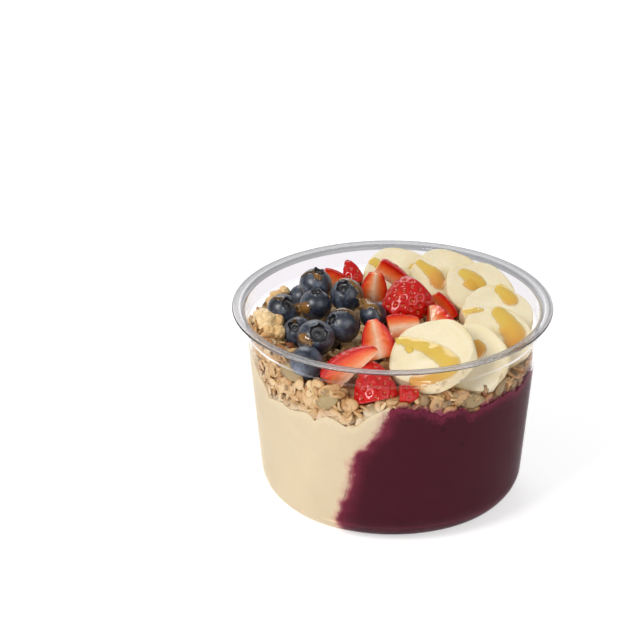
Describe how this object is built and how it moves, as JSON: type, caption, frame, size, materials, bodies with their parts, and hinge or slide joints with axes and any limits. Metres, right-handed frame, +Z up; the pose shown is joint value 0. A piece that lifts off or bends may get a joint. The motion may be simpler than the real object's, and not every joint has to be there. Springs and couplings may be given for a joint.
{
  "type": "acai bowl",
  "caption": "Round clear tub of acai and pale fruit blends set side by side, topped with granola, blueberries, cut strawberries and banana slices.",
  "frame": {"origin": "on the table, under the middle of the tub", "axes": "+Z up along the tub's axis, -Y towards the front, +X to the right seen from the front"},
  "size_m": [0.117, 0.117, 0.0813],
  "materials": {
    "tub": "clear thin plastic, glossy",
    "cream_blend": "smooth pale blend, soft sheen",
    "acai_blend": "smooth dark purple blend, soft sheen",
    "granola": "rough toasted oats",
    "blueberry": "waxy bloom",
    "strawberry": "moist, glossy skin and cut flesh",
    "banana": "soft moist flesh"
  },
  "bodies": {
    "root": {"tub": "tub", "cream_blend": "cream_blend", "acai_blend": "acai_blend", "granola": "granola", "blueberry_01": "blueberry", "blueberry_02": "blueberry", "blueberry_03": "blueberry", "blueberry_04": "blueberry", "blueberry_05": "blueberry", "blueberry_06": "blueberry", "blueberry_07": "blueberry", "blueberry_08": "blueberry", "blueberry_09": "blueberry", "blueberry_10": "blueberry", "blueberry_11": "blueberry", "blueberry_12": "blueberry", "strawberry_01": "strawberry", "strawberry_02": "strawberry", "strawberry_03": "strawberry", "strawberry_04": "strawberry", "strawberry_05": "strawberry", "strawberry_06": "strawberry", "strawberry_07": "strawberry", "strawberry_08": "strawberry", "strawberry_09": "strawberry", "strawberry_10": "strawberry", "strawberry_11": "strawberry", "strawberry_12": "strawberry", "banana_slice_1": "banana", "banana_slice_2": "banana", "banana_slice_3": "banana", "banana_slice_4": "banana", "banana_slice_5": "banana", "banana_slice_6": "banana", "banana_slice_7": "banana"}
  },
  "joints": []
}
